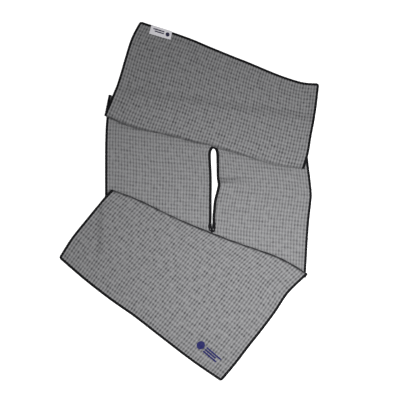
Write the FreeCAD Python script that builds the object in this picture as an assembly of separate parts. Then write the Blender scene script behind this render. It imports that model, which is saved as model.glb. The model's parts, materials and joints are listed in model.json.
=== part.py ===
import FreeCAD, Part
import os
from math import atan2, degrees, hypot

# Waffle-weave golf towel lying in an accordion fold, in mm.
# From its top hem the cloth runs down the top panel, turns under at crease A, runs back up
# as the upper pleat, turns under at crease B, runs down the middle panel, turns up at crease
# D, runs back up as the lower pleat, turns over at crease C and ends as the bottom panel.
# X points right, Y up the towel and Z up from the table. The origin is the centre of the
# folded towel's footprint, at table height.

# Cloth, stitching and label
CLOTH_T = 2.0          # thickness of the waffle cloth and of its stitched edge
LAYER_GAP = 0.4        # air between two layers of the fold
EDGE_W = 4.4           # width of the overlocked edge
CLEARANCE = 0.1        # gap between neighbouring solids
DRAPE_START = 2.0      # a covering panel leaves the layers under it this far past their end
DRAPE_RUN = 26.0       # and reaches the table over this distance
LABEL_LENGTH = 44.0
LABEL_WIDTH = 16.0
LABEL_T = 0.4
LABEL_CORNER = (-82, 352)    # on the top hem's outer line
LABEL_END = (-40, 338)       # further along the same line

# Creases, from left end to right end
CREASE_A = [(-175, 159), (221, 50)]
CREASE_B = [(-167, 204), (233, 145)]
CREASE_C = [(-157, 8), (226, -158)]
CREASE_D = [(-168, -112), (222, -166)]

# Hems, each from its upper end to its lower end or from left to right
TOP_HEM = [(-106, 361), (-40, 338), (38, 306), (99, 281), (170, 246), (226, 229), (257, 226)]
TOP_LEFT = [(-106, 361), (-125, 323), (-143, 251), (-157, 207), (-175, 159)]
TOP_RIGHT = [(257, 226), (250, 171), (239, 117), (232, 78), (221, 50)]
MIDDLE_LEFT = [(-167, 204), (-171, 110), (-171, 28), (-168, -112)]
MIDDLE_RIGHT = [(233, 145), (231, 80), (237, 15), (230, -73), (222, -166)]
BOTTOM_LEFT = [(-157, 8), (-205, -48), (-235, -88), (-257, -127)]
BOTTOM_RIGHT = [(226, -158), (188, -193), (162, -229), (112, -296), (57, -361)]
BOTTOM_HEM = [(-257, -127), (-103, -247), (57, -361)]
LEFT_SUPPORT = [(-168, -112), (-171, 28)]    # left side of the layers under the bottom panel

# Slit for the club or bag hook: a round top, then the corners down its right side and up its left
SLIT_TOP = [(39, 83), (44.5, 93), (50.5, 83)]
SLIT_SIDES = [(51, 34), (52, 21), (45, -6), (43, -44), (41.5, -65), (40, -65), (40, -9), (39.5, 60)]
BINDING_TOP = [(34, 82), (45, 98), (55, 82)]
BINDING_SIDES = [(56, 34), (57.5, 18), (52, -3), (48, -37), (48, -60), (43, -79), (38, -79),
                 (34, -69), (36, -37), (36, 50)]

# Working sizes, larger than the towel
RUN_ON = 40.0
REACH = 900.0
BELOW = -20.0
TALL = 60.0

FLOOR_LEVEL = 0.0
PLEAT_LEVEL = CLOTH_T + LAYER_GAP
COVER_LEVEL = 2 * PLEAT_LEVEL


def vector(point, z=0.0):
    return FreeCAD.Vector(point[0], point[1], z)


def run(points):
    """A smooth curve through the points, or a straight line if there are two."""
    if len(points) == 2:
        return Part.makeLine(vector(points[0]), vector(points[1]))
    curve = Part.BSplineCurve()
    curve.interpolate([vector(p) for p in points])
    return curve.toShape()


def closed_face(runs):
    return Part.Face(Part.Wire([run(points) for points in runs]))


def run_on(points):
    """The point that lies RUN_ON past the last one, in the direction of the last stretch."""
    (x0, y0), (x1, y1) = points[-2], points[-1]
    length = hypot(x1 - x0, y1 - y0)
    return (x1 + (x1 - x0) * RUN_ON / length, y1 + (y1 - y0) * RUN_ON / length)


def line_frame(line):
    """Placement with X along the line from its first point, and Y to its left."""
    (x0, y0), (x1, y1) = line
    turn = FreeCAD.Rotation(FreeCAD.Vector(0, 0, 1), degrees(atan2(y1 - y0, x1 - x0)))
    return FreeCAD.Placement(vector(line[0]), turn)


def placed(shape, line):
    shape.Placement = line_frame(line).multiply(shape.Placement)
    return shape


def trimmed(shape, crease, keep):
    """Cuts off what lies past the crease. keep is +1 to keep the side up the towel, -1 the other."""
    low = -REACH + CLEARANCE if keep > 0 else -CLEARANCE
    box = Part.makeBox(3 * REACH, REACH, 4 * TALL, FreeCAD.Vector(-REACH, low, -2 * TALL))
    return shape.cut(placed(box, crease))


def prism(face):
    face = face.copy()
    face.translate(FreeCAD.Vector(0, 0, BELOW))
    return face.extrude(FreeCAD.Vector(0, 0, TALL))


def under_drape(line, side, extra):
    """All that lies below a sheet which covers the layers up to the line and then comes down to the table.

    side is +1 if the sheet comes down on the line's left, -1 on its right. extra raises the surface.
    """
    high, low = COVER_LEVEL + extra, FLOOR_LEVEL + extra
    start, end = DRAPE_START, DRAPE_START + DRAPE_RUN
    middle = (start + end) / 2

    def point(across, z):
        return FreeCAD.Vector(-REACH, side * across, z)

    fall = Part.BezierCurve()
    fall.setPoles([point(start, high), point(middle, high), point(middle, low), point(end, low)])
    corners = [point(end, low), point(REACH, low), point(REACH, BELOW), point(-REACH, BELOW),
               point(-REACH, high), point(start, high)]
    edges = [fall.toShape()] + [Part.makeLine(a, b) for a, b in zip(corners, corners[1:])]
    face = Part.Face(Part.Wire(edges))
    return placed(face.extrude(FreeCAD.Vector(3 * REACH, 0, 0)), line)


def flat_sheet(level):
    return Part.makeBox(2 * REACH, 2 * REACH, CLOTH_T, FreeCAD.Vector(-REACH, -REACH, level))


def draped_sheet(lines):
    """A sheet of cloth that comes down to the table past each of the lines."""
    upper = under_drape(lines[0][0], lines[0][1], CLOTH_T)
    lower = under_drape(lines[0][0], lines[0][1], 0.0)
    for line, side in lines[1:]:
        upper = upper.common(under_drape(line, side, CLOTH_T))
        lower = lower.common(under_drape(line, side, 0.0))
    return upper.cut(lower)


def strip_face(left, right):
    """Face between a left and a right hem, run on past each crease."""
    tops = [run_on(left[::-1]), run_on(right[::-1])]
    feet = [run_on(left), run_on(right)]
    return closed_face([[tops[0], left[0]], left, [left[-1], feet[0]], feet,
                        [feet[1], right[-1]], right[::-1], [right[0], tops[1]], tops[::-1]])


def top_face():
    feet = [run_on(TOP_LEFT), run_on(TOP_RIGHT)]
    return closed_face([TOP_LEFT, [TOP_LEFT[-1], feet[0]], feet, [feet[1], TOP_RIGHT[-1]],
                        TOP_RIGHT[::-1], TOP_HEM[::-1]])


def bottom_face():
    tops = [run_on(BOTTOM_LEFT[::-1]), run_on(BOTTOM_RIGHT[::-1])]
    return closed_face([BOTTOM_LEFT, BOTTOM_HEM, BOTTOM_RIGHT[::-1], [BOTTOM_RIGHT[0], tops[1]],
                        tops[::-1], [tops[0], BOTTOM_LEFT[0]]])


def beside(points, distance):
    """The points moved sideways, to the left of their direction by the distance."""
    moved = []
    for i, (x, y) in enumerate(points):
        x0, y0 = points[max(i - 1, 0)]
        x1, y1 = points[min(i + 1, len(points) - 1)]
        length = hypot(x1 - x0, y1 - y0)
        moved.append((x - (y1 - y0) * distance / length, y + (x1 - x0) * distance / length))
    return moved


def hem_band(hem, side, width):
    """Prism over the strip of that width along a hem, run on past both of its ends.

    side is +1 if the cloth lies on the left of the hem's direction, -1 on its right.
    """
    outer = beside(hem, -side * RUN_ON / 4)
    inner = beside(hem, side * width)
    heads = [run_on(outer[::-1]), run_on(inner[::-1])]
    feet = [run_on(outer), run_on(inner)]
    return prism(closed_face([[heads[0], outer[0]], outer, [outer[-1], feet[0]], feet,
                              [feet[1], inner[-1]], inner[::-1], [inner[0], heads[1]], heads[::-1]]))


def cloth_and_edges(face, sheet, creases, side_hems, end_hem=None):
    """The cloth inside the stitched edge, then the edge along each side hem and along the end hem."""
    whole = sheet.common(prism(face))
    for crease, keep in creases:
        whole = trimmed(whole, crease, keep)
    cloth = whole
    for hem, side in side_hems + ([end_hem] if end_hem else []):
        cloth = cloth.cut(hem_band(hem, side, EDGE_W + CLEARANCE))
    edges = [whole.common(hem_band(hem, side, EDGE_W)) for hem, side in side_hems]
    if end_hem:
        beyond_end = hem_band(end_hem[0], end_hem[1], EDGE_W + CLEARANCE)
        edges = [edge.cut(beyond_end) for edge in edges]
        edges.append(whole.common(hem_band(end_hem[0], end_hem[1], EDGE_W)))
    return [shape.Solids[0] for shape in [cloth] + edges]


def slit_face(top, sides):
    left, crown, right = top
    edges = [Part.Arc(vector(left), vector(crown), vector(right)).toShape()]
    corners = [right] + sides + [left]
    edges += [Part.makeLine(vector(a), vector(b)) for a, b in zip(corners, corners[1:])]
    return Part.Face(Part.Wire(edges))


def slit_binding():
    band = slit_face(BINDING_TOP, BINDING_SIDES).cut(slit_face(SLIT_TOP, SLIT_SIDES))
    return flat_sheet(FLOOR_LEVEL).common(prism(band)).Solids[0]


def slit_hole():
    """The hole in the cloth that the binding fills."""
    return prism(slit_face(BINDING_TOP, BINDING_SIDES).makeOffset2D(CLEARANCE))


def woven_label():
    label = Part.makeBox(LABEL_LENGTH, LABEL_WIDTH, LABEL_T,
                         FreeCAD.Vector(0, -LABEL_WIDTH, CLOTH_T + CLEARANCE))
    return placed(label, [LABEL_CORNER, LABEL_END])


def build():
    parts = {}
    sheet = draped_sheet([(CREASE_B, 1)])
    names = ["top_panel", "edge_top_left", "edge_top_right", "edge_top_hem"]
    shapes = cloth_and_edges(top_face(), sheet, [(CREASE_A, 1)], [(TOP_LEFT, 1), (TOP_RIGHT, -1)],
                             (TOP_HEM, -1))
    parts.update(zip(names, shapes))
    parts["woven_label"] = woven_label()

    left, right = [CREASE_B[0], CREASE_A[0]], [CREASE_B[1], CREASE_A[1]]
    names = ["upper_pleat", "edge_upper_pleat_left", "edge_upper_pleat_right"]
    shapes = cloth_and_edges(strip_face(left, right), flat_sheet(PLEAT_LEVEL),
                             [(CREASE_A, 1), (CREASE_B, -1)], [(left, 1), (right, -1)])
    parts.update(zip(names, shapes))

    names = ["middle_panel", "edge_middle_left", "edge_middle_right"]
    shapes = cloth_and_edges(strip_face(MIDDLE_LEFT, MIDDLE_RIGHT), flat_sheet(FLOOR_LEVEL),
                             [(CREASE_B, -1), (CREASE_D, 1)], [(MIDDLE_LEFT, 1), (MIDDLE_RIGHT, -1)])
    parts.update(zip(names, shapes))
    parts["middle_panel"] = parts["middle_panel"].cut(slit_hole()).Solids[0]
    parts["slit_binding"] = slit_binding()

    left, right = [CREASE_C[0], CREASE_D[0]], [CREASE_C[1], CREASE_D[1]]
    names = ["lower_pleat", "edge_lower_pleat_left", "edge_lower_pleat_right"]
    shapes = cloth_and_edges(strip_face(left, right), flat_sheet(PLEAT_LEVEL),
                             [(CREASE_C, -1), (CREASE_D, 1)], [(left, 1), (right, -1)])
    parts.update(zip(names, shapes))

    sheet = draped_sheet([(CREASE_D, -1), (LEFT_SUPPORT, 1)])
    names = ["bottom_panel", "edge_bottom_left", "edge_bottom_right", "edge_bottom_hem"]
    shapes = cloth_and_edges(bottom_face(), sheet, [(CREASE_C, -1)],
                             [(BOTTOM_LEFT, 1), (BOTTOM_RIGHT, -1)], (BOTTOM_HEM, 1))
    parts.update(zip(names, shapes))
    return parts


def main():
    os.makedirs("parts", exist_ok=True)
    for name, shape in build().items():
        shape.exportStep("parts/" + name + ".step")


main()
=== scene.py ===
import json
import math

import bmesh
import bpy
import numpy as np
from mathutils import Matrix, Vector


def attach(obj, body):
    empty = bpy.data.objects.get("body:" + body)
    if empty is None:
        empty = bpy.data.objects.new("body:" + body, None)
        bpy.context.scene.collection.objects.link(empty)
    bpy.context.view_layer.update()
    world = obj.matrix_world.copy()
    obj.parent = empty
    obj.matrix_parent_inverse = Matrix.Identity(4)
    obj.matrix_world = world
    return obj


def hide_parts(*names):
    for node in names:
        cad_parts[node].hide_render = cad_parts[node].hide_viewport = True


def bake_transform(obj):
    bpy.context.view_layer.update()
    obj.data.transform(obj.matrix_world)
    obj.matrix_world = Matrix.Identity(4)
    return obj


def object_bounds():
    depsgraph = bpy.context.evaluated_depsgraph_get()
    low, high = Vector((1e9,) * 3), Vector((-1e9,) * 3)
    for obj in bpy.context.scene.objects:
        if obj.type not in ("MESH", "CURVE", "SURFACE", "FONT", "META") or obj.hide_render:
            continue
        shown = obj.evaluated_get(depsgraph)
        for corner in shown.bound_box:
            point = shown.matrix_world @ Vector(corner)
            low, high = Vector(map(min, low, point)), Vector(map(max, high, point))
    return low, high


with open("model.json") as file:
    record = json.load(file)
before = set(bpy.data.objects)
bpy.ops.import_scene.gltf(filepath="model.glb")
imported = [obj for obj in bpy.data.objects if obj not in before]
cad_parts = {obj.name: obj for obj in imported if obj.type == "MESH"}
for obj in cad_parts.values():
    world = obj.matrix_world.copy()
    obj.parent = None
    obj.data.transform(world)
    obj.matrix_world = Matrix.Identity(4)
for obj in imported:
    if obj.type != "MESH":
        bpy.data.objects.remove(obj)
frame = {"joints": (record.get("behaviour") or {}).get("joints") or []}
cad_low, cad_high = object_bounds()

# A folded golf towel. The cloth is laid out flat in coordinates u (across, from the left hem) and
# v (along, from the top hem), in mm, cut into pieces and then folded: fold() takes (u, v) to its
# place in the row frame. Lengths are in mm until a mesh is made. The panels are counted from the
# top hem, and crease k lies between panels k and k + 1.

# ---------------------------------------------------------------- the cloth and its weave

MM = 0.001
WIDTH = 400.0             # of the cloth, hem to hem
TOP, MIDDLE, BOTTOM = 0, 2, 4
LEVELS = [5.8, 3.4, 1.0, 3.4, 5.8]    # height of the cloth's middle in each panel
COLUMNS = 69              # of waffle cells
CELL_U = WIDTH / COLUMNS
CELL_V = 7.8
STEPS = 4                 # mesh steps in a cell
STEP_V = CELL_V / STEPS
RELIEF = 0.55             # the waffle's ridges and pits lie this far above and below the middle
PIT_SHAPE = (0.4, 0.35, 0.25)         # of a pit: share of a hollow, of columns and of rows
PIT_POWER = 0.55          # below 1 widens the hollow
EDGE_FLAT = (2.5, 4.0)    # the weave is flat this far from a hem, and rises over the second length
SLIT_FLAT = (5.0, 3.0)    # the same from the slit
WEB = 0.45                # half the thickness of the cloth in any one place
WARP = 0.7                # how far the weave's lines wander
WARP_ROOM = 30.0          # they are straight at a panel's border and wander fully this far inside
WARP_X = [(140, 23, 0.0), (-88, 51, 2.0)]         # waves: mm a radian along x and y, and phase
WARP_Y = [(27, 160, 1.0), (63, -71, 0.0)]
ROLLING = [(41, 67, 0.0), (73, -38, 1.3), (97, 29, 4.1), (27, -91, 2.2)]
ROLL_PRESSED = 0.8        # height of the rolling in the middle panel, and in the top and bottom ones
ROLL_LOOSE = 1.2

# ---------------------------------------------------------------- stitched edges

RAW_EDGE = 1.49           # the cloth ends this far inside the stitched edge's outer line
STITCH_HALF = 2.8         # half the width of the stitched edge
STITCH_IN = 2.1           # its middle lies this far inside the outer line
STITCH_HEIGHT = 1.0       # half its height
STITCH_PITCH = 2.3
STITCH_TOOTH = 0.65       # how far each thread reaches into the cloth beyond that
STITCH_SIDES = 12         # of the tube that the edge is made of
STITCH_RINGS = 4          # of its points in each stitch
STITCH_SQUARE = 0.8       # below 1 makes the tube's section less round
STITCH_SLANT = 0.7        # how much a thread leans, in radians of a stitch
STITCH_THIN = (0.05, 0.16)            # share of its width and height missing between threads
STITCH_JITTER = [(0.25, 0.9, 0.0), (0.2, 2.3, 1.0)]   # waves: radians of a stitch, radians a mm, phase
TOOTH_ROOT = 0.4          # of a thread's rib, below which its tooth turns into a gap
TOOTH_WAVE = (0.4, 1.7, 2.0)          # the teeth's own wave: share of a tooth, radians a mm, phase
CORNER_R = 3.0
CORNER_POINTS = 7
PATH_STEP = 0.5           # between points of a path that is folded

# ---------------------------------------------------------------- folds

FOLD_R = 1.2              # radius of the cloth's middle where it turns over
TURN = math.pi * FOLD_R   # cloth that a turn takes
TURN_CUTS = 7             # lines that it is cut along
BLEND_MARGIN = 0.6        # how far past the turn the direction that fold_up() works out for a crease piece reaches; nothing reads that direction
FOLD_TUCK = 2.0           # how far the turn is set back so that its outside lies on the crease
OUTWARD = [-1, 1, -1, 1]      # the side each fold points to: -1 down the towel, 1 up it
# Each crease waves about its axis: size in mm of a half, a whole, one and a half ... waves
CREASE_WAVES = [(8.4, 0.2, 3.8, 0.0, 1.6), (), (), (2.2, -2.5, 3.4, -0.4, 1.1)]
CREASE_JOINTS = ["crease_a", "crease_b", "crease_d", "crease_c"]
SEAM_AFTER = (8.0, 12.0, -5.0, -4.0)  # each piece of the cloth ends this far after its crease
DRAPE_START = 0.5         # the top and bottom panels come down from this far beyond their pleats,
DRAPE_RUN = 24.0          # over this length,
SIDE_RUN = 17.0           # or this one where the bottom panel leaves the middle one's left side

# Hems as they lie in the row frame: the top and bottom ones from left to right, and each panel's
# sides from its upper crease on the flat cloth to its lower one
TOP_HEM = [(-106, 361), (-40, 338), (0, 323), (38, 306), (84, 286), (118, 272), (154, 256),
           (188, 242), (226, 230), (259, 227.5)]
TOP_LEFT = [(-106, 361), (-124, 323), (-138, 274), (-144, 251), (-157, 207), (-175, 159)]
TOP_RIGHT = [(259, 227.5), (251, 171), (240, 117), (233, 80), (224, 50)]
UPPER_LEFT = [(-175, 159), (-167, 204)]
UPPER_RIGHT = [(224, 50), (233, 145)]
MIDDLE_LEFT = [(-167, 204), (-172, 130), (-171, 28), (-168, -112)]
MIDDLE_RIGHT = [(233, 145), (232, 80), (236, 30), (238, 0), (236, -22), (230, -70), (222, -166)]
LOWER_LEFT = [(-168, -112), (-157, 8)]
LOWER_RIGHT = [(222, -166), (226, -158)]
BOTTOM_LEFT = [(-157, 8), (-182, -20), (-205, -49), (-234, -87), (-258, -127)]
BOTTOM_RIGHT = [(226, -158), (189, -194), (164, -230), (138, -264), (112, -296), (86, -329),
                (57.5, -362)]
BOTTOM_HEM = [(-258, -127), (-207, -170), (-157, -208), (-109, -241), (-63, -276), (1, -324),
              (57.5, -362)]

# ---------------------------------------------------------------- the slit in the middle panel

# Sides of the opening and the middle line of the stitching all round it, as they lie
SLIT_LEFT = [(44.5, 93), (41, 88), (39, 80), (39.5, 60), (40, -9), (40.2, -54), (41, -64)]
SLIT_RIGHT = [(44.5, 93), (48.5, 89), (50.5, 81), (51, 34), (52.6, 20), (47, -6), (43.8, -28),
              (42, -54), (41, -64)]
SLIT_STITCH = [(41, -75), (37, -67), (37.2, -56), (37.5, -40), (37.6, 0), (37.6, 40), (36.4, 66),
               (37, 86), (44.2, 95.8), (51.6, 86), (52.8, 60), (53.2, 34), (55.0, 19), (54.0, 11),
               (49.0, -8), (46.9, -19), (45.8, -32), (44.4, -48), (44.8, -60), (44.4, -70)]
SLIT_COLUMN = 145         # the step of the mesh, from the left hem, that the slit runs along
SLIT_U = SLIT_COLUMN * CELL_U / STEPS
SLIT_SAMPLES = 900        # of points along the slit's line and its stitching
SLIT_NEAR = 0.01          # points this close to the slit's line count as on it
SLIT_GAP = 1e-4           # between the slit's line and its cut sides while the cloth is flat
SLIT_REACH = 60.0         # how far from the slit its opening still pushes the cloth aside
SLIT_NOTCH = 2.0          # the top panel's fold is set back this far above the slit's end
SLIT_NOTCH_RUN = 18.0
SLIT_STITCH_HALF = 3.1    # half the width of its stitching,
SLIT_END_HALF = 4.1       # and at its lower end, which is reached
SLIT_END_RUN = 10.0       # this far below
SLIT_END_Y = -56.0        # here

# Lifts of the middle panel: start, end, widths below and above it, height; or centre, size, height
OPEN_RUN = 22.0           # they fade out over this length from the panels that lie on it
SLIT_RIDGE = ((56, 19), (120, 24), (9.0, 6.0), 2.2)
WRINKLE_RIDGES = [((58, 26), (110, 29), (4.0, 2.2), 2.4), ((58, 19), (110, 22), (4.0, 2.2), 2.4)]
PUFF = ((165, -50), (60, 45), 1.8)
RIDGE_RISE = 0.25         # share of a ridge's length over which it rises, before its start
RIDGE_FADE = 2 / 3        # share of its length over which it fades out, towards its end

# ---------------------------------------------------------------- the label

LABEL = [(-83, 352.5), (-40, 338.5), (-43.4, 321.2), (-87.5, 334.4)]  # as it lies: clockwise corners
LABEL_SIZE = (44.0, 16.0)
LABEL_GRID = (60, 28)     # points across and down
LABEL_LIFT = 1.2          # of its underside above the cloth's middle
LABEL_T = 0.3
LABEL_TURN = 1.3          # radius of the turn over the hem
LABEL_SAG = 0.12          # it waves by this much
LABEL_SAG_RUN = (7.0, 6.0)            # mm a radian, and the length over which the waves begin

# ---------------------------------------------------------------- colours and marks

RIDGE_DARK = (0.30, 0.30, 0.305, 1)
RIDGE_LIGHT = (0.37, 0.37, 0.38, 1)
FIBRE = (0.50, 0.50, 0.51, 1)
# Painted shade in the waffle's pits: the dark colour that the pits are mixed towards
PIT_SHADE = (0.05, 0.05, 0.055, 1)
PIT_SHADE_ACROSS = 0.46         # how much painted shade darkens the pits, across the columns and along them
PIT_SHADE_ALONG = 0.26
PIT_SHADE_PRESSED = 0.86        # share of that in the middle panel, and elsewhere
PIT_SHADE_LOOSE = 1.04
PATCH_NOISE = (55.0, 3.0)             # noises: cells a metre, and detail
CLUMP_NOISE = (330.0, 1.0)
UNEVEN_NOISE = (110.0, 1.0)
FIBRE_NOISE = (2600.0, 2.0)
CLUMPS = (2.0, -0.6)      # what a noise is multiplied by, and what is added to it
UNEVEN = (1.7, 0.15)
UNEVEN_MOST = 1.3
# how the creases' painted shade varies with the patches: factor, and what is added
PATCHY = (1.2, 0.4)
CLUMP_SHARE = 0.5         # of the fibres' colour in a clump
WARP_PITCH = 0.75         # of the threads of the weave
WEFT_PITCH = 1.0
WEAVE_SHARE = 0.35        # of the threads in the bumps, beside the fibres
CLOTH_BUMP = (0.6, 0.25)  # strength, and height in mm
CLOTH_LOOKS = {"Roughness": 0.95, "Specular IOR Level": 0.1, "Sheen Weight": 0.12,
               "Sheen Roughness": 0.5}
# Painted shade along the creases: the dark colour that stands in for the shade in and beside each fold
CREASE_SHADE_TONE = (0.03, 0.03, 0.033, 1)
CREASE_SHADE = [(0.8, 0.4), (0.8, 0.8), (0.8, 0.8), (1.0, 1.3)]      # at the left and right hem
CREASE_SHADE_HALF = 5.4         # half the width of the painted shade line along a crease
WRINKLE_SHADE_LINES = [((224, 416.4), (300, 408)), ((224, 424.4), (285, 417.6))]     # lines of painted shade for the wrinkles beside the slit, on the flat cloth
WRINKLE_SHADE_HALF = 3.4        # half the width of a wrinkle's painted shade line
WRINKLE_SHADE = 0.33      # at its start; it fades out to its end
THREAD_DARK = (0.003, 0.003, 0.004, 1)
THREAD_LIGHT = (0.010, 0.010, 0.012, 1)
THREAD_NOISE = (2500.0, 2.0)
THREAD_BUMP = (0.5, 0.2)
THREAD_LOOKS = {"Roughness": 0.75, "Specular IOR Level": 0.12}
LABEL_DARK = (0.93, 0.91, 1.0, 1)
LABEL_LIGHT = (1.0, 0.98, 1.0, 1)
LABEL_INK = (0.012, 0.008, 0.06, 1)
LABEL_PITCH = (1.1, 0.6)  # of its threads, across and down
LABEL_BUMP = (0.5, 0.1)
LABEL_LOOKS = {"Roughness": 0.4, "Sheen Weight": 0.4}

# Marks in place of the printed and the woven ones: a plain disc (centre, radius) and bars (centre,
# half size), from the mark's place
PRINT_INK = (0.012, 0.012, 0.13, 1)
PRINT_SHARE = 0.93        # of the ink in its colour
PRINT_U = 345.5
PRINT_UP = 31.46          # from the bottom hem
PRINT_TURN = 5.0
PRINT_DISC = ((-20.5, 0.0), 7.8)
PRINT_BARS = [((9.0, -4.0), (18.5, 1.5)), ((4.0, 0.4), (13.5, 1.5)), ((7.0, 4.8), (16.5, 1.5))]
LABEL_MARK_PLACE = (22.0, 6.6)
LABEL_DISC = ((14.2, 1.2), 4.1)
LABEL_BARS = [((-4.6, -1.8), (11.5, 1.1)), ((-2.6, 2.0), (9.5, 1.1))]

# ---------------------------------------------------------------- floor, light and camera, in metres

FLOOR_SIZE = 12.0
FLOOR_Z = -0.0003
FLOOR_WHITE = (0.9, 0.9, 0.9, 1)
WHITE = (1, 1, 1, 1)
FLOOR_LOOKS = {"Roughness": 1.0, "Specular IOR Level": 0.0, "Emission Color": WHITE,
               "Emission Strength": 0.9}
KEY_PLACE = (0.17, -0.215, 0.6)
KEY_AIM = (0.17, -0.215, 0.0)
KEY_SIZE = 0.4
KEY_POWER = 3.65          # W
FILL = 0.29               # strength of the white world
CAMERA_TARGET = (0.0172, -0.0121, 0.0)        # from the middle of the CAD box, on the table
CAMERA_TILT = 10.0        # degrees from straight down
CAMERA_DISTANCE = 1.5375
CAMERA_LENS = 69.9        # mm
CAMERA_SENSOR = 36.0      # mm
CAMERA_RANGE = (0.05, 30.0)           # it sees what is this near to this far


# ---------------------------------------------------------------- curves

def smooth(t):
    """0 below 0, 1 above 1, and a smooth step between."""
    t = np.clip(t, 0.0, 1.0)
    return t * t * (3 - 2 * t)


def unit(vectors):
    """The vectors, one a row, at length 1."""
    return vectors / np.linalg.norm(vectors, axis=1)[:, None]


def dense(points, count=240):
    """A smooth line through the points, as closely spaced points (Catmull-Rom)."""
    p = np.array(points, float)
    if len(p) == 2:
        return p[0] + (p[1] - p[0]) * np.linspace(0, 1, count)[:, None]
    p = np.vstack([2 * p[0] - p[1], p, 2 * p[-1] - p[-2]])
    t = np.linspace(0, len(points) - 1 - 1e-9, count)
    i = t.astype(int)
    f = (t - i)[:, None]
    a, b, c, d = p[i], p[i + 1], p[i + 2], p[i + 3]
    square = 2 * a - 5 * b + 4 * c - d
    cube = 3 * b - a - 3 * c + d
    return 0.5 * (2 * b + (c - a) * f + square * f ** 2 + cube * f ** 3)


def lengths(line):
    """Length of the line from its start to each of its points."""
    return np.concatenate([[0], np.cumsum(np.linalg.norm(np.diff(line, axis=0), axis=1))])


def points_at(line, at):
    """Points of the line at these lengths from its start."""
    along = lengths(line)
    return np.column_stack([np.interp(at, along, line[:, k]) for k in (0, 1)])


class Line:
    """A line that gives the point at a share of its length."""

    def __init__(self, points):
        self.points = dense(points)
        self.length = float(lengths(self.points)[-1])

    def at(self, share):
        return points_at(self.points, np.asarray(share) * self.length)


def across(pair, u):
    """Value at u of what has these two values at the left and right hem."""
    return pair[0] + (pair[1] - pair[0]) * u / WIDTH


def waves(place, terms):
    """Sum of plain waves over a place; a term has its mm a radian along x and y, and its phase."""
    x, y = place[:, 0], place[:, 1]
    return sum(np.sin(x / run_x + y / run_y + phase) for run_x, run_y, phase in terms)


# ---------------------------------------------------------------- the towel's lines

def line_ends(name, left, right):
    """Ends of a crease where its hinge axis passes the left and right ends of the hems."""
    joint = next(j for j in frame["joints"] if j["name"] == name)
    point = np.array(joint["pos_m"][:2]) / MM
    along = np.array(joint["axis"][:2])
    along = along / np.linalg.norm(along)
    return np.array([point + along * np.dot(np.array(end) - point, along) for end in (left, right)])


SIDES_LEFT = [Line(p) for p in (TOP_LEFT, UPPER_LEFT, MIDDLE_LEFT, LOWER_LEFT, BOTTOM_LEFT)]
SIDES_RIGHT = [Line(p) for p in (TOP_RIGHT, UPPER_RIGHT, MIDDLE_RIGHT, LOWER_RIGHT, BOTTOM_RIGHT)]
CREASE_ENDS = [(left.points[-1], right.points[-1]) for left, right in zip(SIDES_LEFT[:-1], SIDES_RIGHT)]
CREASES = [line_ends(name, *ends) for name, ends in zip(CREASE_JOINTS, CREASE_ENDS)]
ENDS = [Line(points) for points in [TOP_HEM, *CREASE_ENDS, BOTTOM_HEM]]     # above and below the panels

# v, at the left and right hem, of each panel's start and stop, of the creases and of the bottom hem
STARTS = [np.zeros(2)]
STOPS = []
for left, right in zip(SIDES_LEFT, SIDES_RIGHT):
    STOPS.append(STARTS[-1] + np.array([left.length, right.length]))
    STARTS.append(STOPS[-1] + TURN)
CREASE_V = [stop + TURN / 2 for stop in STOPS[:-1]]
END_V = STOPS[-1]
SEAMS = [line + after for line, after in zip(CREASE_V, SEAM_AFTER)]
PRINT_PLACE = (PRINT_U, float(across(END_V, PRINT_U)) - PRINT_UP)


def normal_of(crease):
    """Unit normal of a crease in the table's plane, up the towel."""
    d = crease[1] - crease[0]
    return np.array([-d[1], d[0]]) / np.linalg.norm(d)


def past(crease, xy):
    """Distance of points beyond a crease, up the towel."""
    return (xy - crease[0]) @ normal_of(crease)


def end_line(i, u):
    """The line between panels i - 1 and i: a hem, or a crease with its waves and tuck."""
    share = u / WIDTH
    base = ENDS[i].at(share)
    crease = i - 1
    if not 0 <= crease < len(CREASES):
        return base
    wave = np.zeros(len(share))
    for k, size in enumerate(CREASE_WAVES[crease]):
        wave += size * np.sin(np.pi * (k + 1) * share)
    if crease == 0:
        wave -= SLIT_NOTCH * np.exp(-((u - SLIT_U) / SLIT_NOTCH_RUN) ** 2)
    return base + (wave - FOLD_TUCK)[:, None] * OUTWARD[crease] * normal_of(CREASES[crease])


def side_at(line, t, first, last):
    """Points of a side at shares t of it, bent so that it joins these two points."""
    return line.at(t[:, 0]) + (first - line.points[0]) * (1 - t) + (last - line.points[-1]) * t


def patch(i, u, t):
    """Panel i's point at u across and share t of its length, filled in between its four sides."""
    share, t = (u / WIDTH)[:, None], t[:, None]
    head_left, head_right = end_line(i, np.array([0.0, WIDTH]))
    foot_left, foot_right = end_line(i + 1, np.array([0.0, WIDTH]))
    left = side_at(SIDES_LEFT[i], t, head_left, foot_left)
    right = side_at(SIDES_RIGHT[i], t, head_right, foot_right)
    ends = (1 - t) * end_line(i, u) + t * end_line(i + 1, u)
    sides = (1 - share) * left + share * right
    head_corners = (1 - share) * head_left + share * head_right
    foot_corners = (1 - share) * foot_left + share * foot_right
    return ends + sides - (1 - t) * head_corners - t * foot_corners


# ---------------------------------------------------------------- the slit's line

def shut_slit(v):
    """Where the slit's line would lie at these v if it were shut."""
    share = (v - across(STARTS[MIDDLE], SLIT_U)) / across(STOPS[MIDDLE] - STARTS[MIDDLE], SLIT_U)
    return patch(MIDDLE, np.full(len(v), SLIT_U), share)


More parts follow.
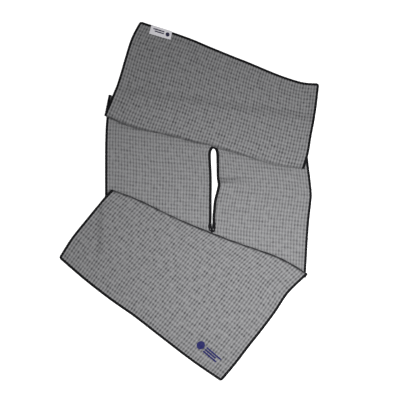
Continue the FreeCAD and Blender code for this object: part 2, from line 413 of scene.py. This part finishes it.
def slit_shift(u, v):
    """Sideways shift of the middle panel's points by the slit's opening."""
    samples = np.linspace(CREASE_V[1].min(), CREASE_V[2].max(), SLIT_SAMPLES)
    x, y = shut_slit(samples).T
    shifts = []
    for side in (SLIT_LEFT, SLIT_RIGHT):
        side_x, side_y = dense(side)[::-1].T
        gap = np.interp(y, side_y, side_x) - x
        inside = (y < side_y[-1]) & (y > side_y[0])
        shifts.append(np.interp(v, samples, np.where(inside, gap, 0.0)))
    far = np.abs(u - SLIT_U) / SLIT_REACH
    return np.where(u < SLIT_U, *shifts) * np.exp(-far)


def slit_ends():
    """v of the slit's two ends, on rows of the mesh."""
    samples = np.linspace(STARTS[MIDDLE].max(), STOPS[MIDDLE].min(), SLIT_SAMPLES)
    y = shut_slit(samples)[:, 1]
    found = [np.interp(-end_y, -y, samples) for end_y in (SLIT_LEFT[0][1], SLIT_LEFT[-1][1])]
    return [round(v / STEP_V) * STEP_V for v in found]


# ---------------------------------------------------------------- folding

def ridge(xy, start, end, widths, top):
    """A soft ridge along a line, fading out towards its far end; widths are below and above it."""
    start, end = np.array(start, float), np.array(end, float)
    d = end - start
    along = (xy - start) @ d / (d @ d)
    side = (xy - start) @ np.array([-d[1], d[0]]) / np.linalg.norm(d)
    width = np.where(side < 0, *widths)
    ends = smooth(along / RIDGE_RISE + 1) * smooth((1 - along) / RIDGE_FADE)
    return top * np.exp(-(side / width) ** 2) * ends


def hump(xy, centre, size, top):
    """A soft round hump."""
    d = (xy - np.array(centre, float)) / np.array(size, float)
    return top * np.exp(-(d ** 2).sum(axis=1))


def warp(xy, room):
    """The weave's lines wander a little; room is the distance to the panel's border."""
    wander = np.column_stack([waves(xy, WARP_X), waves(xy, WARP_Y)])
    return xy + wander * WARP * smooth(room / WARP_ROOM)[:, None]


def rolling(xy, top):
    """Long soft waves of the cloth, between 0 and top."""
    return top * (0.5 + waves(xy, ROLLING) / (2 * len(ROLLING)))


def resting(beyond, run):
    """1 where a panel rests on its pleat, and 0 where it has come down on the table beyond it."""
    return 1 - smooth((beyond - DRAPE_START) / run)


def middle_lift(xy):
    """How far the middle panel rises off the table between the panels that lie on it."""
    open_part = smooth(-past(CREASES[0], xy) / OPEN_RUN) * smooth(past(CREASES[3], xy) / OPEN_RUN)
    lift = rolling(xy, ROLL_PRESSED) + ridge(xy, *SLIT_RIDGE) + hump(xy, *PUFF)
    lift += np.maximum(*[ridge(xy, *wrinkle) for wrinkle in WRINKLE_RIDGES])
    return lift * open_part


def height(i, xy):
    """Height of the middle of the cloth in panel i at these points of the table."""
    low, high = LEVELS[MIDDLE], LEVELS[i]
    if i == MIDDLE:
        return low + middle_lift(xy)
    if i == TOP:
        rest = resting(past(CREASES[1], xy), DRAPE_RUN)
    elif i == BOTTOM:
        middle_side = SIDES_LEFT[MIDDLE].points
        support = middle_side[-len(middle_side) // 4:, 0].mean()
        rest = resting(-past(CREASES[2], xy), DRAPE_RUN) * resting(support - xy[:, 0], SIDE_RUN)
    else:
        return np.full(len(xy), high)
    return low + (high - low) * rest + rolling(xy, ROLL_LOOSE)


def fold_panel(i, u, v):
    """Place of points of panel i and of the halves of its turns."""
    start, stop = across(STARTS[i], u), across(STOPS[i], u)
    t = (v - start) / (stop - start)
    t = np.clip(t, None if i == TOP else 0, None if i == BOTTOM else 1)
    room = np.minimum.reduce([u, WIDTH - u, v - start, stop - v])
    xy = warp(patch(i, u, t), room)
    if i == MIDDLE:
        xy[:, 0] += slit_shift(u, v)
    z = height(i, xy)
    for crease, other, beyond in ((i - 1, i - 1, start - v), (i, i + 1, v - stop)):
        if 0 <= other < len(LEVELS):
            turning = np.clip(beyond / (TURN / 2), 0, 1) * math.pi / 2
            way = OUTWARD[crease] * normal_of(CREASES[crease])
            xy = xy + np.sin(turning)[:, None] * FOLD_R * way
            z = z + math.copysign(FOLD_R, LEVELS[other] - LEVELS[i]) * (1 - np.cos(turning))
    return np.column_stack([xy, z])


def fold(uv):
    """Place in the row frame of points of the cloth's middle surface."""
    u, v = uv[:, 0], uv[:, 1]
    panel = sum((v > across(line, u)).astype(int) for line in CREASE_V)
    out = np.zeros((len(uv), 3))
    for i in range(len(LEVELS)):
        mine = panel == i
        if mine.any():
            out[mine] = fold_panel(i, u[mine], v[mine])
    return out


def surface(uv):
    """Middle surface and its unit normal, which points out of the cloth's face."""
    step = 0.05
    middle = fold(uv)
    away = np.where(uv[:, :1] < SLIT_U, -1.0, 1.0)      # from the slit, so as not to reach over it
    along_u = (fold(uv + away * [[2 * step, 0.0]]) - middle) * away
    along_v = fold(uv + [[0.0, step]]) - fold(uv - [[0.0, step]])
    return middle, unit(np.cross(along_v, along_u))


def on_table(xy):
    """Middle surface and normal of the middle panel under points given as they lie."""
    step = 0.5
    z = height(MIDDLE, xy)
    slope_x = (height(MIDDLE, xy + [step, 0.0]) - z) / step
    slope_y = (height(MIDDLE, xy + [0.0, step]) - z) / step
    return np.column_stack([xy, z]), unit(np.column_stack([-slope_x, -slope_y, np.ones(len(xy))]))


# ---------------------------------------------------------------- making pieces

def make_object(name, uv, points, faces, material):
    """A mesh laid flat for now, with its folded place kept for fold_up()."""
    mesh = bpy.data.meshes.new(name)
    flat = np.column_stack([uv, np.zeros(len(uv))]) * MM
    mesh.from_pydata(flat.tolist(), [], faces)
    layer = mesh.uv_layers.new(name="flat")
    loops = np.zeros(len(mesh.loops), int)
    mesh.loops.foreach_get("vertex_index", loops)
    layer.data.foreach_set("uv", (uv[loops] * MM).astype(np.float32).ravel())
    mesh.polygons.foreach_set("use_smooth", [True] * len(mesh.polygons))
    mesh.materials.append(MATERIALS[material])
    obj = bpy.data.objects.new(name, mesh)
    bpy.context.scene.collection.objects.link(obj)
    return obj, points * MM


def fold_up(made, nodes, crease=None, body="middle"):
    """Folds a flat piece; one that lies off the creases is tied to one body, one across a crease to
    none.
    """
    obj, points = made
    if crease is not None:
        low, high = CREASE_V[crease]
        way = np.array([low - high, WIDTH])
        way = way / np.linalg.norm(way) * (TURN / 2 + BLEND_MARGIN)
        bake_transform(obj)
    obj.data.vertices.foreach_set("co", points.astype(np.float32).ravel())
    obj.data.update()
    if crease is None:
        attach(obj, body)
    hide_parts(*nodes)
    return obj


def grid_faces(columns, rows):
    """Four-sided faces of a grid of points that are counted row by row."""
    first = (np.arange(rows - 1)[:, None] * columns + np.arange(columns - 1)).ravel()
    return np.column_stack([first, first + 1, first + columns + 1, first + columns]).tolist()


def slab_faces(faces, rim, count):
    """Faces of both sides and of the rim of a slab; its second side repeats the first's points."""
    upper = [face[::-1] for face in faces]
    lower = [[i + count for i in face] for face in faces]
    return upper + lower + [[a, b, b + count, a + count] for a, b in rim]


# ---------------------------------------------------------------- pieces of the cloth

def flat_grid(low, high):
    """Grid of flat cloth that covers the space between two slanting lines (v at left, v at right)."""
    us = np.arange(1, COLUMNS * STEPS) * CELL_U / STEPS
    vs = np.arange(math.floor(min(low) / STEP_V), math.ceil(max(high) / STEP_V) + 1) * STEP_V
    grid_u, grid_v = np.meshgrid(us, vs)
    points = np.column_stack([grid_u.ravel(), grid_v.ravel(), np.zeros(grid_u.size)])
    mesh = bpy.data.meshes.new("flat")
    mesh.from_pydata(points.tolist(), [], grid_faces(len(us), len(vs)))
    bm = bmesh.new()
    bm.from_mesh(mesh)
    bpy.data.meshes.remove(mesh)
    return bm


def cut(bm, line, clear_before=False, clear_after=False):
    """Cuts the flat cloth along a slanting line and clears what lies before or after it, if asked."""
    normal = Vector((line[0] - line[1], WIDTH, 0)).normalized()
    everything = bm.verts[:] + bm.edges[:] + bm.faces[:]
    bmesh.ops.bisect_plane(bm, geom=everything, dist=1e-4, plane_co=(0, line[0], 0), plane_no=normal,
                           clear_outer=clear_after, clear_inner=clear_before)


def open_slit(bm):
    """Parts the flat cloth along the slit, a hair's breadth, so that its sides can move apart."""
    top, bottom = slit_ends()

    def on_slit(vert, margin):
        along = top - margin < vert.co.y < bottom + margin
        return along and abs(vert.co.x - SLIT_U) < SLIT_NEAR

    edges = [edge for edge in bm.edges if all(on_slit(vert, SLIT_NEAR) for vert in edge.verts)]
    bmesh.ops.split_edges(bm, edges=edges)
    for vert in bm.verts:
        if on_slit(vert, -SLIT_NEAR):
            centre = sum(face.calc_center_median().x for face in vert.link_faces) / len(vert.link_faces)
            vert.co.x = SLIT_U + math.copysign(SLIT_GAP, centre - SLIT_U)


def outline(bm):
    """Points, faces and border edges of the flat cloth."""
    bm.verts.ensure_lookup_table()
    bm.verts.index_update()
    uv = np.array([vert.co[:2] for vert in bm.verts])
    faces = [[vert.index for vert in face.verts] for face in bm.faces]
    border = [edge.link_loops[0] for edge in bm.edges if len(edge.link_faces) == 1]
    rim = [(loop.vert.index, loop.link_loop_next.vert.index) for loop in border]
    return uv, faces, rim


def waffle(uv):
    """Height of the waffle weave: ridges up, pits down, flattened under the stitched edges."""
    u, v = uv.T
    columns = np.sin(np.pi * u / CELL_U) ** 2
    rows = np.sin(np.pi * v / CELL_V) ** 2
    pit = PIT_SHAPE[0] * (columns * rows) ** PIT_POWER + PIT_SHAPE[1] * columns + PIT_SHAPE[2] * rows
    hem_away = np.minimum.reduce([u, WIDTH - u, v, across(END_V, u) - v])
    top, bottom = slit_ends()
    beyond = np.maximum(0, np.maximum(top - v, v - bottom))
    slit_away = np.hypot(u - SLIT_U, beyond)
    raised = RELIEF * (1 - 2 * pit)
    for away, (flat, run) in ((hem_away, EDGE_FLAT), (slit_away, SLIT_FLAT)):
        raised = raised * smooth((away - flat) / run)
    return raised


def sheet_piece(name, low, high, crease):
    """A piece of the cloth with both faces of its weave and closed rims."""
    bm = flat_grid(low, high)
    cut(bm, low, clear_before=True)
    cut(bm, high, clear_after=True)
    if crease is None:
        open_slit(bm)
    else:
        for offset in np.linspace(-TURN / 2, TURN / 2, TURN_CUTS):
            cut(bm, CREASE_V[crease] + offset)
    uv, faces, rim = outline(bm)
    bm.free()
    middle, normal = surface(uv)
    lift = waffle(uv)[:, None]
    points = np.concatenate([middle + normal * (lift + WEB), middle + normal * (lift - WEB)])
    return make_object(name, np.concatenate([uv, uv]), points, slab_faces(faces, rim, len(uv)), "cloth")


# ---------------------------------------------------------------- stitching

def tube_faces(rings, closed):
    """Faces of a tube made of rings of points, with a cap at each end unless it is closed."""
    sides = STITCH_SIDES
    faces = []
    for ring in range(rings if closed else rings - 1):
        near, far = ring * sides, (ring + 1) % rings * sides
        for k in range(sides):
            after = (k + 1) % sides
            faces.append([near + k, far + k, far + after, near + after])
    if not closed:
        last = (rings - 1) * sides
        faces += [list(range(sides)), [last + k for k in reversed(range(sides))]]
    return faces


def squared(value):
    """A sine or cosine pushed outward, which makes a round section squarer."""
    return math.copysign(abs(value) ** STITCH_SQUARE, value)


def stitched_edge(name, path, place=surface, half=lambda at: STITCH_HALF, closed=False):
    """Overlocked edge along a flat path: a flattened tube with a rib for each thread.

    The cloth lies on the left of the path's direction, seen from the face. place() gives the
    middle surface and normal at points of the path, and half() half the width of the edge there.
    """
    path = np.vstack([path, path[:1]]) if closed else path
    total = lengths(path)[-1]
    stitches = round(total / STITCH_PITCH)
    rings = stitches * STITCH_RINGS + (0 if closed else 1)
    at = np.linspace(0, total, rings, endpoint=not closed)
    uv = points_at(path, at)
    middle, normal = place(uv)
    tangent = np.gradient(middle, axis=0)
    if closed:
        tangent = np.roll(middle, -1, axis=0) - np.roll(middle, 1, axis=0)
    inward = unit(np.cross(normal, unit(tangent)))
    phase = at / total * stitches * 2 * math.pi
    phase += sum(size * np.sin(at * run + start) for size, run, start in STITCH_JITTER)
    size, run, start = TOOTH_WAVE
    tooth = STITCH_TOOTH * (1 + size * np.sin(at * run + start))
    points = np.zeros((rings, STITCH_SIDES, 3))
    for k in range(STITCH_SIDES):
        angle = k * 2 * math.pi / STITCH_SIDES
        c, s = math.cos(angle), math.sin(angle)
        rib = 0.5 + 0.5 * np.cos(phase + STITCH_SLANT * s)
        side = squared(c) * half(uv) * (1 - STITCH_THIN[0] * (1 - rib))
        side = side + max(c, 0) ** 2 * tooth * (rib - TOOTH_ROOT)
        rise = squared(s) * STITCH_HEIGHT * (1 - STITCH_THIN[1] * (1 - rib))
        points[:, k] = middle + inward * side[:, None] + normal * rise[:, None]
    uv = np.repeat(uv, STITCH_SIDES, axis=0)
    return make_object(name, uv, points.reshape(-1, 3), tube_faces(rings, closed), "edge_thread")


def corner(u, v, start_deg):
    """Points of a quarter turn about (u, v), counter-clockwise with u right and v up."""
    angles = np.radians(np.linspace(start_deg, start_deg + 90, CORNER_POINTS))
    return [(u + CORNER_R * math.cos(a), v + CORNER_R * math.sin(a)) for a in angles]


def fine(path):
    """The path with points at most PATH_STEP apart."""
    path = np.array(path)
    total = lengths(path)[-1]
    return points_at(path, np.linspace(0, total, int(total / PATH_STEP) + 2))


# ---------------------------------------------------------------- materials

class Graph:
    """A material, with short calls for the nodes that it is made of."""

    def __init__(self, name):
        self.material = bpy.data.materials.new(name)
        self.material.use_nodes = True
        self.nodes = self.material.node_tree.nodes
        self.links = self.material.node_tree.links
        self.surface = self.nodes["Principled BSDF"].inputs

    def feed(self, socket, value):
        """Links a node's output to a socket, or writes a plain value there."""
        if isinstance(value, bpy.types.NodeSocket):
            self.links.new(value, socket)
        else:
            socket.default_value = value

    def calc(self, operation, *values):
        node = self.nodes.new("ShaderNodeMath")
        node.operation = operation
        for socket, value in zip(node.inputs, values):
            self.feed(socket, value)
        return node.outputs[0]

    def plus(self, a, b):
        return self.calc("ADD", a, b)

    def minus(self, a, b):
        return self.calc("SUBTRACT", a, b)

    def times(self, a, b):
        return self.calc("MULTIPLY", a, b)

    def larger(self, a, b):
        return self.calc("MAXIMUM", a, b)

    def smaller(self, a, b):
        return self.calc("MINIMUM", a, b)

    def scaled(self, value, factor, added):
        return self.calc("MULTIPLY_ADD", value, factor, added)

    def sine(self, place, pitch):
        """Waves along a place, at a pitch in mm."""
        return self.calc("SINE", self.times(place, 2 * math.pi / (pitch * MM)))

    def mix(self, factor, a, b):
        """Colour between a and b, at a share of the way."""
        node = self.nodes.new("ShaderNodeMix")
        node.data_type = "RGBA"
        for name, value in (("Factor", factor), ("A", a), ("B", b)):
            self.feed(node.inputs[name], value)
        return node.outputs["Result"]

    def noise(self, place, scale, detail):
        node = self.nodes.new("ShaderNodeTexNoise")
        node.inputs["Scale"].default_value = scale
        node.inputs["Detail"].default_value = detail
        self.feed(node.inputs["Vector"], place)
        return node.outputs["Fac"]

    def flat_place(self):
        """Place on the flat cloth, in metres: as one vector, and its u and v."""
        flat = self.nodes.new("ShaderNodeUVMap")
        flat.uv_map = "flat"
        split = self.nodes.new("ShaderNodeSeparateXYZ")
        self.feed(split.inputs[0], flat.outputs["UV"])
        return flat.outputs["UV"], split.outputs[0], split.outputs[1]

    def bump(self, relief, strength, distance):
        """Bumps of the surface; distance is their height in mm."""
        node = self.nodes.new("ShaderNodeBump")
        node.inputs["Strength"].default_value = strength
        node.inputs["Distance"].default_value = distance * MM
        self.feed(node.inputs["Height"], relief)
        self.feed(self.surface["Normal"], node.outputs["Normal"])

    def finish(self, colour, looks):
        """Gives the surface its colour and its other looks."""
        self.feed(self.surface["Base Color"], colour)
        for name, value in looks.items():
            self.surface[name].default_value = value
        return self.material


def box_mask(graph, x, y, centre, half):
    """1 inside a rectangle, else 0."""
    off_x = graph.calc("ABSOLUTE", graph.minus(x, centre[0] * MM))
    off_y = graph.calc("ABSOLUTE", graph.minus(y, centre[1] * MM))
    return graph.times(graph.calc("LESS_THAN", off_x, half[0] * MM),
                       graph.calc("LESS_THAN", off_y, half[1] * MM))


def disc_mask(graph, x, y, centre, radius):
    """1 inside a disc, else 0."""
    off_x, off_y = graph.minus(x, centre[0] * MM), graph.minus(y, centre[1] * MM)
    square = graph.plus(graph.times(off_x, off_x), graph.times(off_y, off_y))
    return graph.calc("LESS_THAN", square, (radius * MM) ** 2)


def motif(graph, u, v, place, turn, disc, bars):
    """A plain disc and bars, in mm from a place of the flat cloth, turned about it."""
    c, s = math.cos(math.radians(turn)), math.sin(math.radians(turn))
    du, dv = graph.minus(u, place[0] * MM), graph.minus(v, place[1] * MM)
    x = graph.plus(graph.times(du, c), graph.times(dv, s))
    y = graph.minus(graph.times(dv, c), graph.times(du, s))
    mask = disc_mask(graph, x, y, *disc)
    for bar in bars:
        mask = graph.larger(mask, box_mask(graph, x, y, *bar))
    return mask


def cell_wave(graph, place, cell):
    """0 on a ridge of the weave and 1 in the middle of a pit."""
    wave = graph.sine(place, 2 * cell)
    return graph.times(wave, wave)


def crease_line(graph, u, crease):
    """v of a crease at u, both in metres."""
    low, high = CREASE_V[crease]
    return graph.scaled(u, (high - low) / WIDTH, low * MM)


def pit_shade_depth(graph, u, v):
    """How strong the painted shade in the pits is: less in the middle panel, which lies pressed flat.
    """
    after = graph.calc("GREATER_THAN", v, crease_line(graph, u, 1))
    before = graph.calc("LESS_THAN", v, crease_line(graph, u, 2))
    return graph.scaled(graph.times(after, before), PIT_SHADE_PRESSED - PIT_SHADE_LOOSE, PIT_SHADE_LOOSE)


def beside(graph, v, line, half):
    """1 on a line, fading to 0 at half its width beside it."""
    share = graph.calc("DIVIDE", graph.calc("ABSOLUTE", graph.minus(v, line)), half * MM)
    return graph.larger(graph.minus(1.0, graph.times(share, share)), 0.0)


def crease_painted_shade(graph, u, v):
    """Painted shade along the creases, from 0 to a little over 1: dark lines in place of the shade in
    and beside each fold.
    """
    painted_shade = 0.0
    for crease, (shade_left, shade_right) in enumerate(CREASE_SHADE):
        near = beside(graph, v, crease_line(graph, u, crease), CREASE_SHADE_HALF)
        shade = graph.scaled(u, (shade_right - shade_left) / (WIDTH * MM), shade_left)
        painted_shade = graph.larger(graph.times(near, shade), painted_shade)
    return painted_shade


def wrinkle_painted_shade(graph, u, v):
    """Painted shade lines for the wrinkles beside the slit, each fading out away from it."""
    right = graph.calc("GREATER_THAN", u, SLIT_U * MM)
    painted_shade = 0.0
    for (start_u, start_v), (end_u, end_v) in WRINKLE_SHADE_LINES:
        length = end_u - start_u
        slope = (end_v - start_v) / length
        near = beside(graph, v, graph.scaled(u, slope, (start_v - start_u * slope) * MM), WRINKLE_SHADE_HALF)
        fade = graph.scaled(u, -1 / (length * MM), end_u / length)
        fade = graph.larger(graph.smaller(fade, 1.0), 0.0)
        painted_shade = graph.larger(graph.times(near, graph.times(fade, right)), painted_shade)
    return graph.times(painted_shade, WRINKLE_SHADE)


def cloth_material():
    graph = Graph("cloth")
    flat, u, v = graph.flat_place()
    patches = graph.noise(flat, *PATCH_NOISE)
    clumps = graph.larger(graph.scaled(graph.noise(flat, *CLUMP_NOISE), *CLUMPS), 0.0)
    ridges = graph.mix(patches, RIDGE_DARK, RIDGE_LIGHT)
    ridges = graph.mix(graph.times(clumps, CLUMP_SHARE), ridges, FIBRE)
    # Painted shade in the waffle's pits, across the columns and along the rows
    columns = graph.times(cell_wave(graph, u, CELL_U), PIT_SHADE_ACROSS)
    rows = graph.times(cell_wave(graph, v, CELL_V), PIT_SHADE_ALONG)
    uneven = graph.smaller(graph.scaled(graph.noise(flat, *UNEVEN_NOISE), *UNEVEN), UNEVEN_MOST)
    uneven = graph.times(uneven, pit_shade_depth(graph, u, v))
    colour = graph.mix(graph.times(graph.plus(columns, rows), uneven), ridges, PIT_SHADE)
    # Painted shade along the creases and the wrinkles, mixed into the colour
    painted_shade = graph.times(crease_painted_shade(graph, u, v), graph.scaled(patches, *PATCHY))
    painted_shade = graph.larger(graph.smaller(painted_shade, 1.0), wrinkle_painted_shade(graph, u, v))
    colour = graph.mix(painted_shade, colour, CREASE_SHADE_TONE)
    marks = motif(graph, u, v, PRINT_PLACE, PRINT_TURN, PRINT_DISC, PRINT_BARS)
    colour = graph.mix(graph.times(marks, PRINT_SHARE), colour, PRINT_INK)
    weave = graph.times(graph.sine(u, WARP_PITCH), graph.sine(v, WEFT_PITCH))
    relief = graph.plus(graph.times(weave, WEAVE_SHARE), graph.noise(flat, *FIBRE_NOISE))
    graph.bump(relief, *CLOTH_BUMP)
    return graph.finish(colour, CLOTH_LOOKS)


def thread_material():
    graph = Graph("edge_thread")
    place = graph.nodes.new("ShaderNodeTexCoord").outputs["Object"]
    grain = graph.noise(place, *THREAD_NOISE)
    colour = graph.mix(grain, THREAD_DARK, THREAD_LIGHT)
    graph.bump(grain, *THREAD_BUMP)
    return graph.finish(colour, THREAD_LOOKS)


def label_material():
    graph = Graph("label")
    u, v = graph.flat_place()[1:]
    weave = graph.times(graph.sine(v, LABEL_PITCH[1]), graph.sine(u, LABEL_PITCH[0]))
    weave = graph.scaled(weave, 0.5, 0.5)
    colour = graph.mix(weave, LABEL_DARK, LABEL_LIGHT)
    marks = motif(graph, u, v, LABEL_MARK_PLACE, 0.0, LABEL_DISC, LABEL_BARS)
    colour = graph.mix(marks, colour, LABEL_INK)
    graph.bump(weave, *LABEL_BUMP)
    return graph.finish(colour, LABEL_LOOKS)


MATERIALS = {"cloth": cloth_material(), "edge_thread": thread_material(), "label": label_material()}


# ---------------------------------------------------------------- building the towel

def build_cloth():
    plan = [
        ("cloth_top", 0, "top_panel"),
        ("cloth_upper_pleat", 1, "upper_pleat"),
        ("cloth_middle", None, "middle_panel"),
        ("cloth_lower_pleat", 2, "lower_pleat"),
        ("cloth_bottom", 3, "bottom_panel"),
    ]
    lines = [np.full(2, RAW_EDGE), *SEAMS, END_V - RAW_EDGE]
    made = {}
    for (name, crease, node), low, high in zip(plan, lines, lines[1:]):
        piece = sheet_piece(name, low, high, crease)
        made[name] = (fold_up(piece, [node], crease), low, high)
    return made


def straight(u, first, last):
    """Flat path along a side of the cloth between two slanting lines."""
    return [(u, across(first, u)), (u, across(last, u))]


def build_edges():
    left, right = STITCH_IN, WIDTH - STITCH_IN
    left_turn, right_turn = left + CORNER_R, right - CORNER_R       # middles of the corners
    top_turn = STITCH_IN + CORNER_R
    bottom_turn = END_V - STITCH_IN
    path = [(left, across(SEAMS[0], left)), *corner(left_turn, top_turn, 180),
            *corner(right_turn, top_turn, 270), (right, across(SEAMS[0], right))]
    plan = [("top", path, 0, ["top_hem", "top_left", "top_right"])]
    for name, part, crease, first, last in (
            ("upper_", "upper_pleat_", 1, SEAMS[0], SEAMS[1]),
            ("middle_", "middle_", None, SEAMS[1], SEAMS[2]),
            ("lower_", "lower_pleat_", 2, SEAMS[2], SEAMS[3])):
        plan.append((name + "left", straight(left, last, first), crease, [part + "left"]))
        plan.append((name + "right", straight(right, first, last), crease, [part + "right"]))
    path = [(right, across(SEAMS[3], right)),
            *corner(right_turn, across(bottom_turn, right_turn) - CORNER_R, 0),
            *corner(left_turn, across(bottom_turn, left_turn) - CORNER_R, 90),
            (left, across(SEAMS[3], left))]
    plan.append(("bottom", path, 3, ["bottom_hem", "bottom_left", "bottom_right"]))
    made = {}
    for name, path, crease, parts in plan:
        piece = stitched_edge("stitch_" + name, fine(path))
        made[name] = fold_up(piece, ["edge_" + part for part in parts], crease)
    return made


def slit_half(xy):
    """Half the width of the slit's stitching, growing towards its lower end."""
    end = smooth((SLIT_END_Y - xy[:, 1]) / SLIT_END_RUN)
    return SLIT_STITCH_HALF + (SLIT_END_HALF - SLIT_STITCH_HALF) * end


def build_slit():
    loop = dense(SLIT_STITCH + SLIT_STITCH[:1], SLIT_SAMPLES)[:-1]
    piece = stitched_edge("stitch_slit", loop, on_table, slit_half, closed=True)
    return fold_up(piece, ["slit_binding"])


def label_place(flat, lift):
    """Place of points of the label, flat in mm from its upper left corner; above 0 it turns down."""
    top_left, top_right, low_right, low_left = np.array(LABEL, float)
    across_it = (flat[:, 0] / LABEL_SIZE[0])[:, None]
    down_it = (np.maximum(flat[:, 1], 0) / LABEL_SIZE[1])[:, None]
    top = (1 - across_it) * top_left + across_it * top_right
    low = (1 - across_it) * low_left + across_it * low_right
    turn = np.clip(-flat[:, 1] / LABEL_TURN, 0, 1) * math.pi / 2
    outward = (top_left - low_left) / np.linalg.norm(top_left - low_left)
    xy = (1 - down_it) * top + down_it * low
    xy = xy + np.sin(turn)[:, None] * (LABEL_TURN + lift) * outward
    rise = LABEL_LIFT + lift - (1 - np.cos(turn)) * (LABEL_TURN + lift)
    sag = LABEL_SAG * np.sin(flat[:, 0] / LABEL_SAG_RUN[0]) * smooth(flat[:, 1] / LABEL_SAG_RUN[1])
    return np.column_stack([xy, height(TOP, xy) + rise + sag])


def build_label():
    columns, rows = LABEL_GRID
    grid_u, grid_v = np.meshgrid(np.linspace(0, LABEL_SIZE[0], columns),
                                 np.linspace(-LABEL_TURN, LABEL_SIZE[1], rows))
    flat = np.column_stack([grid_u.ravel(), grid_v.ravel()])
    points = np.concatenate([label_place(flat, LABEL_T), label_place(flat, 0.0)])
    ids = np.arange(len(flat)).reshape(rows, columns)
    border = [*ids[0, :-1], *ids[:-1, -1], *ids[-1, :0:-1], *ids[:0:-1, 0]]
    rim = [(int(a), int(b)) for a, b in zip(border, border[1:] + border[:1])]
    faces = slab_faces(grid_faces(columns, rows), rim, len(flat))
    piece = make_object("label", np.concatenate([flat, flat]), points, faces, "label")
    return fold_up(piece, ["woven_label"], body="top")


# ---------------------------------------------------------------- building the stage

def build_floor():
    bpy.ops.mesh.primitive_plane_add(size=FLOOR_SIZE, location=(0, 0, FLOOR_Z))
    floor = bpy.context.object
    floor.name = "floor"
    floor.data.materials.append(Graph("floor").finish(FLOOR_WHITE, FLOOR_LOOKS))


def build_light():
    light = bpy.data.lights.new("key", "AREA")
    light.shape = "DISK"
    light.size = KEY_SIZE
    light.energy = KEY_POWER
    key = bpy.data.objects.new("key", light)
    bpy.context.scene.collection.objects.link(key)
    key.location = KEY_PLACE
    key.visible_camera = False
    key.rotation_mode = "QUATERNION"
    key.rotation_quaternion = (Vector(KEY_AIM) - Vector(KEY_PLACE)).to_track_quat("-Z", "Y")
    world = bpy.data.worlds.new("studio")
    world.use_nodes = True
    background = world.node_tree.nodes["Background"].inputs
    background["Color"].default_value = WHITE
    background["Strength"].default_value = FILL
    bpy.context.scene.world = world


def build_camera():
    centre = Vector(((cad_low.x + cad_high.x) / 2, (cad_low.y + cad_high.y) / 2, 0.0))
    tilt = math.radians(CAMERA_TILT)
    right = Vector((1.0, 0.0, 0.0))
    up = Vector((0.0, math.cos(tilt), math.sin(tilt)))
    back = Vector((0.0, -math.sin(tilt), math.cos(tilt)))
    data = bpy.data.cameras.new("camera")
    data.sensor_width = CAMERA_SENSOR
    data.lens = CAMERA_LENS
    data.clip_start, data.clip_end = CAMERA_RANGE
    camera = bpy.data.objects.new("camera", data)
    bpy.context.scene.collection.objects.link(camera)
    place = centre + Vector(CAMERA_TARGET) + back * CAMERA_DISTANCE
    camera.matrix_world = Matrix.Translation(place) @ Matrix((right, up, back)).transposed().to_4x4()
    bpy.context.scene.camera = camera


def set_view():
    """Colours are shown as they are, with no look of a film on top."""
    view = bpy.context.scene.view_settings
    view.view_transform = "Standard"
    view.look = "None"
    view.exposure = 0.0


build_cloth()
build_edges()
build_slit()
build_label()
build_floor()
build_light()
build_camera()
set_view()
